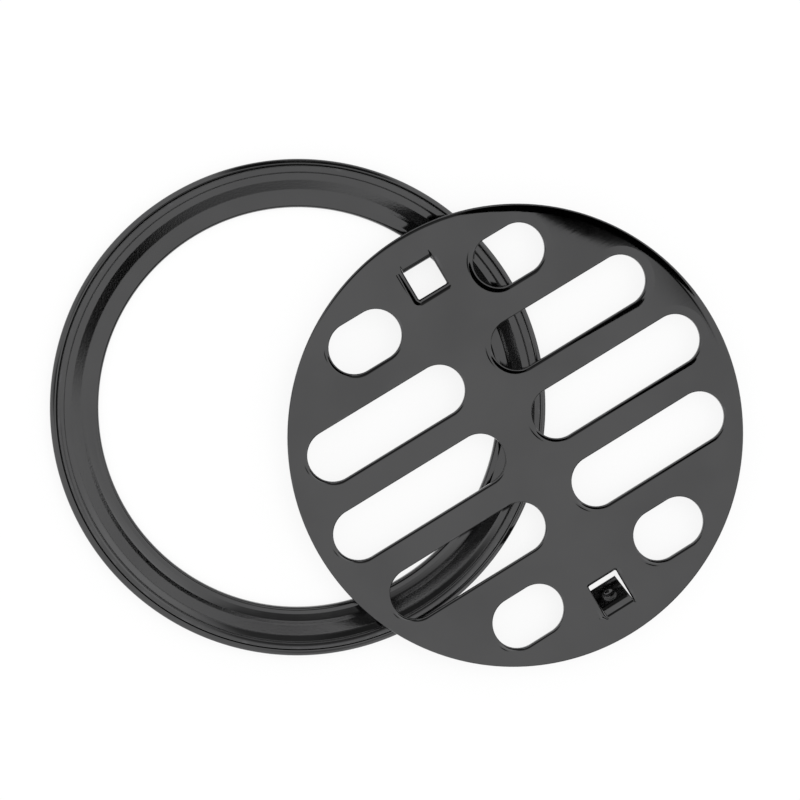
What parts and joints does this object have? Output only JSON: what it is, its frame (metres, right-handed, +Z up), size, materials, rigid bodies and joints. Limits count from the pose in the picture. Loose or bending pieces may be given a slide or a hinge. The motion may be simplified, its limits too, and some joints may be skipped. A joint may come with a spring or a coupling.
{
  "type": "floor drain grate",
  "caption": "Round floor drain grate: a stepped trim ring with a funnel-shaped seat, and its slotted snap-in strainer lifted out and lying half over the ring.",
  "frame": {"origin": "on the trim ring's axis, at the level of its base", "axes": "+Z up along the ring's axis, out of the floor; +X towards the side on which the lifted strainer lies"},
  "size_m": [0.1521, 0.1107, 0.0086],
  "materials": {
    "ring_plate": "polished black plating",
    "strainer_plate": "polished black plating"
  },
  "bodies": {
    "ring": {"trim_ring": "ring_plate"},
    "strainer": {"strainer_plate": "strainer_plate"},
    "square_tab": {"snap_tab_square": "strainer_plate"},
    "splayed_tab": {"snap_tab_splayed": "strainer_plate"}
  },
  "joints": [
    {"name": "strainer_lift", "type": "slide", "parent": "ring", "child": "strainer", "axis": [0, 0, 1], "range_m": [0, 0.06]},
    {"name": "square_tab_flex", "type": "hinge", "parent": "strainer", "child": "square_tab", "pos_m": [0.02393, 0.03255, 0.00673], "axis": [-0.8544, -0.5196, 0.0054], "range_deg": [0, 10], "stiffness_Nm_per_rad": 0.5},
    {"name": "splayed_tab_flex", "type": "hinge", "parent": "strainer", "child": "splayed_tab", "pos_m": [0.07078, -0.04451, 0.00519], "axis": [0.8544, 0.5196, -0.0054], "range_deg": [0, 10], "stiffness_Nm_per_rad": 0.5}
  ]
}
